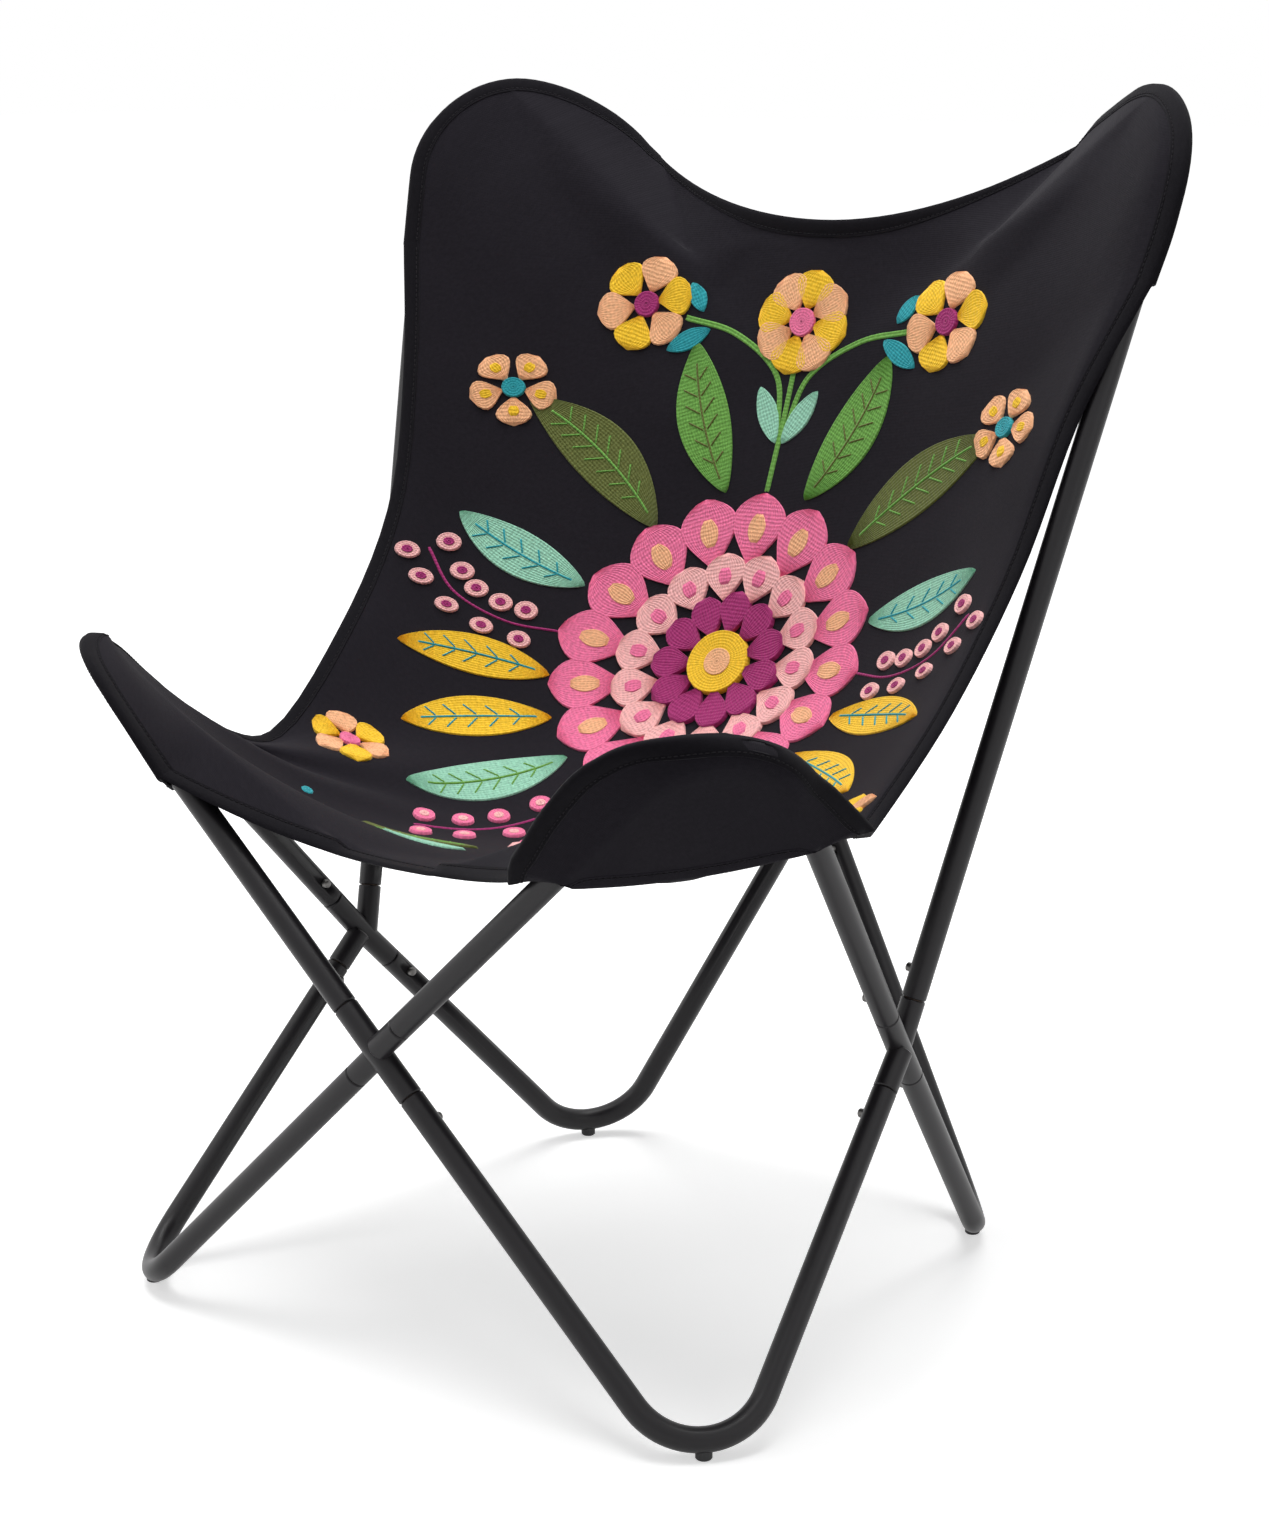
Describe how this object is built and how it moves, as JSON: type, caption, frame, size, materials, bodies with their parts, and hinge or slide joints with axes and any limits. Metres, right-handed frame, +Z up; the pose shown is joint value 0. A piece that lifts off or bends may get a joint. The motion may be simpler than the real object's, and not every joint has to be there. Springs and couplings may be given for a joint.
{
  "type": "butterfly chair",
  "caption": "Butterfly sling chair: a canvas seat hung by its corner pockets on the horns of a knock-down frame of bent black steel tube.",
  "frame": {"origin": "on the floor, in the middle of the plan", "axes": "+Z up, -Y towards the front of the seat, +X to the right as seen from the front"},
  "size_m": [0.7456, 0.6701, 0.9415],
  "materials": {
    "coated_tube": "satin black powder coat",
    "bare_steel": "dull zinc-plated steel",
    "glide_plastic": "matte black plastic",
    "canvas": "black cotton canvas"
  },
  "bodies": {
    "frame": {"floor_front_left_tube": "coated_tube", "floor_back_left_tube": "coated_tube", "horn_front_left_tube": "coated_tube", "horn_back_left_tube": "coated_tube", "floor_front_right_tube": "coated_tube", "floor_back_right_tube": "coated_tube", "horn_front_right_tube": "coated_tube", "horn_back_right_tube": "coated_tube", "cross_front": "coated_tube", "cross_back": "coated_tube", "cross_left": "coated_tube", "cross_right": "coated_tube", "floor_front_left_sleeve_left": "bare_steel", "floor_front_left_sleeve_front": "bare_steel", "floor_back_left_sleeve_left": "bare_steel", "floor_back_left_sleeve_back": "bare_steel", "horn_front_left_sleeve_left": "bare_steel", "horn_front_left_sleeve_front": "bare_steel", "horn_back_left_sleeve_left": "bare_steel", "horn_back_left_sleeve_back": "bare_steel", "floor_front_right_sleeve_right": "bare_steel", "floor_front_right_sleeve_front": "bare_steel", "floor_back_right_sleeve_right": "bare_steel", "floor_back_right_sleeve_back": "bare_steel", "horn_front_right_sleeve_right": "bare_steel", "horn_front_right_sleeve_front": "bare_steel", "horn_back_right_sleeve_right": "bare_steel", "horn_back_right_sleeve_back": "bare_steel", "glide_front_left": "glide_plastic", "glide_back_left": "glide_plastic", "glide_front_right": "glide_plastic", "glide_back_right": "glide_plastic", "sling_panel": "canvas", "pocket_front_left": "canvas", "pocket_back_left": "canvas", "pocket_front_right": "canvas", "pocket_back_right": "canvas"},
    "floor_front_left_button_left": {"floor_front_left_button_left": "bare_steel"},
    "floor_front_left_button_front": {"floor_front_left_button_front": "bare_steel"},
    "floor_back_left_button_left": {"floor_back_left_button_left": "bare_steel"},
    "floor_back_left_button_back": {"floor_back_left_button_back": "bare_steel"},
    "horn_front_left_button_left": {"horn_front_left_button_left": "bare_steel"},
    "horn_front_left_button_front": {"horn_front_left_button_front": "bare_steel"},
    "horn_back_left_button_left": {"horn_back_left_button_left": "bare_steel"},
    "horn_back_left_button_back": {"horn_back_left_button_back": "bare_steel"},
    "floor_front_right_button_right": {"floor_front_right_button_right": "bare_steel"},
    "floor_front_right_button_front": {"floor_front_right_button_front": "bare_steel"},
    "floor_back_right_button_right": {"floor_back_right_button_right": "bare_steel"},
    "floor_back_right_button_back": {"floor_back_right_button_back": "bare_steel"},
    "horn_front_right_button_right": {"horn_front_right_button_right": "bare_steel"},
    "horn_front_right_button_front": {"horn_front_right_button_front": "bare_steel"},
    "horn_back_right_button_right": {"horn_back_right_button_right": "bare_steel"},
    "horn_back_right_button_back": {"horn_back_right_button_back": "bare_steel"}
  },
  "joints": [
    {"name": "floor_front_left_button_left_press", "type": "slide", "parent": "frame", "child": "floor_front_left_button_left", "axis": [-0.9957, 0.0659, 0.0656], "range_m": [0, 0.0065], "stiffness_N_per_m": 1500},
    {"name": "floor_front_left_button_front_press", "type": "slide", "parent": "frame", "child": "floor_front_left_button_front", "axis": [-0.001, -1, -0.0009], "range_m": [0, 0.0065], "stiffness_N_per_m": 1500},
    {"name": "floor_back_left_button_left_press", "type": "slide", "parent": "frame", "child": "floor_back_left_button_left", "axis": [-0.9859, 0.1142, -0.1224], "range_m": [0, 0.0065], "stiffness_N_per_m": 1500},
    {"name": "floor_back_left_button_back_press", "type": "slide", "parent": "frame", "child": "floor_back_left_button_back", "axis": [-0.0485, 0.9949, -0.0879], "range_m": [0, 0.0065], "stiffness_N_per_m": 1500},
    {"name": "horn_front_left_button_left_press", "type": "slide", "parent": "frame", "child": "horn_front_left_button_left", "axis": [-0.9899, 0.0919, -0.1076], "range_m": [0, 0.0065], "stiffness_N_per_m": 1500},
    {"name": "horn_front_left_button_front_press", "type": "slide", "parent": "frame", "child": "horn_front_left_button_front", "axis": [0.0064, -1, -0.0061], "range_m": [0, 0.0065], "stiffness_N_per_m": 1500},
    {"name": "horn_back_left_button_left_press", "type": "slide", "parent": "frame", "child": "horn_back_left_button_left", "axis": [-0.991, -0.0405, -0.1272], "range_m": [0, 0.0065], "stiffness_N_per_m": 1500},
    {"name": "horn_back_left_button_back_press", "type": "slide", "parent": "frame", "child": "horn_back_left_button_back", "axis": [0.0122, 0.9996, -0.0267], "range_m": [0, 0.0065], "stiffness_N_per_m": 1500},
    {"name": "floor_front_right_button_right_press", "type": "slide", "parent": "frame", "child": "floor_front_right_button_right", "axis": [0.998, 0.0453, 0.045], "range_m": [0, 0.0065], "stiffness_N_per_m": 1500},
    {"name": "floor_front_right_button_front_press", "type": "slide", "parent": "frame", "child": "floor_front_right_button_front", "axis": [0.0118, -0.9999, -0.0113], "range_m": [0, 0.0065], "stiffness_N_per_m": 1500},
    {"name": "floor_back_right_button_right_press", "type": "slide", "parent": "frame", "child": "floor_back_right_button_right", "axis": [0.986, 0.1135, -0.1217], "range_m": [0, 0.0065], "stiffness_N_per_m": 1500},
    {"name": "floor_back_right_button_back_press", "type": "slide", "parent": "frame", "child": "floor_back_right_button_back", "axis": [0.0427, 0.9961, -0.0774], "range_m": [0, 0.0065], "stiffness_N_per_m": 1500},
    {"name": "horn_front_right_button_right_press", "type": "slide", "parent": "frame", "child": "horn_front_right_button_right", "axis": [0.9901, 0.0913, -0.1069], "range_m": [0, 0.0065], "stiffness_N_per_m": 1500},
    {"name": "horn_front_right_button_front_press", "type": "slide", "parent": "frame", "child": "horn_front_right_button_front", "axis": [0.0021, -1, 0.002], "range_m": [0, 0.0065], "stiffness_N_per_m": 1500},
    {"name": "horn_back_right_button_right_press", "type": "slide", "parent": "frame", "child": "horn_back_right_button_right", "axis": [0.9901, -0.0425, -0.1335], "range_m": [0, 0.0065], "stiffness_N_per_m": 1500},
    {"name": "horn_back_right_button_back_press", "type": "slide", "parent": "frame", "child": "horn_back_right_button_back", "axis": [-0.0152, 0.9993, -0.0332], "range_m": [0, 0.0065], "stiffness_N_per_m": 1500}
  ]
}
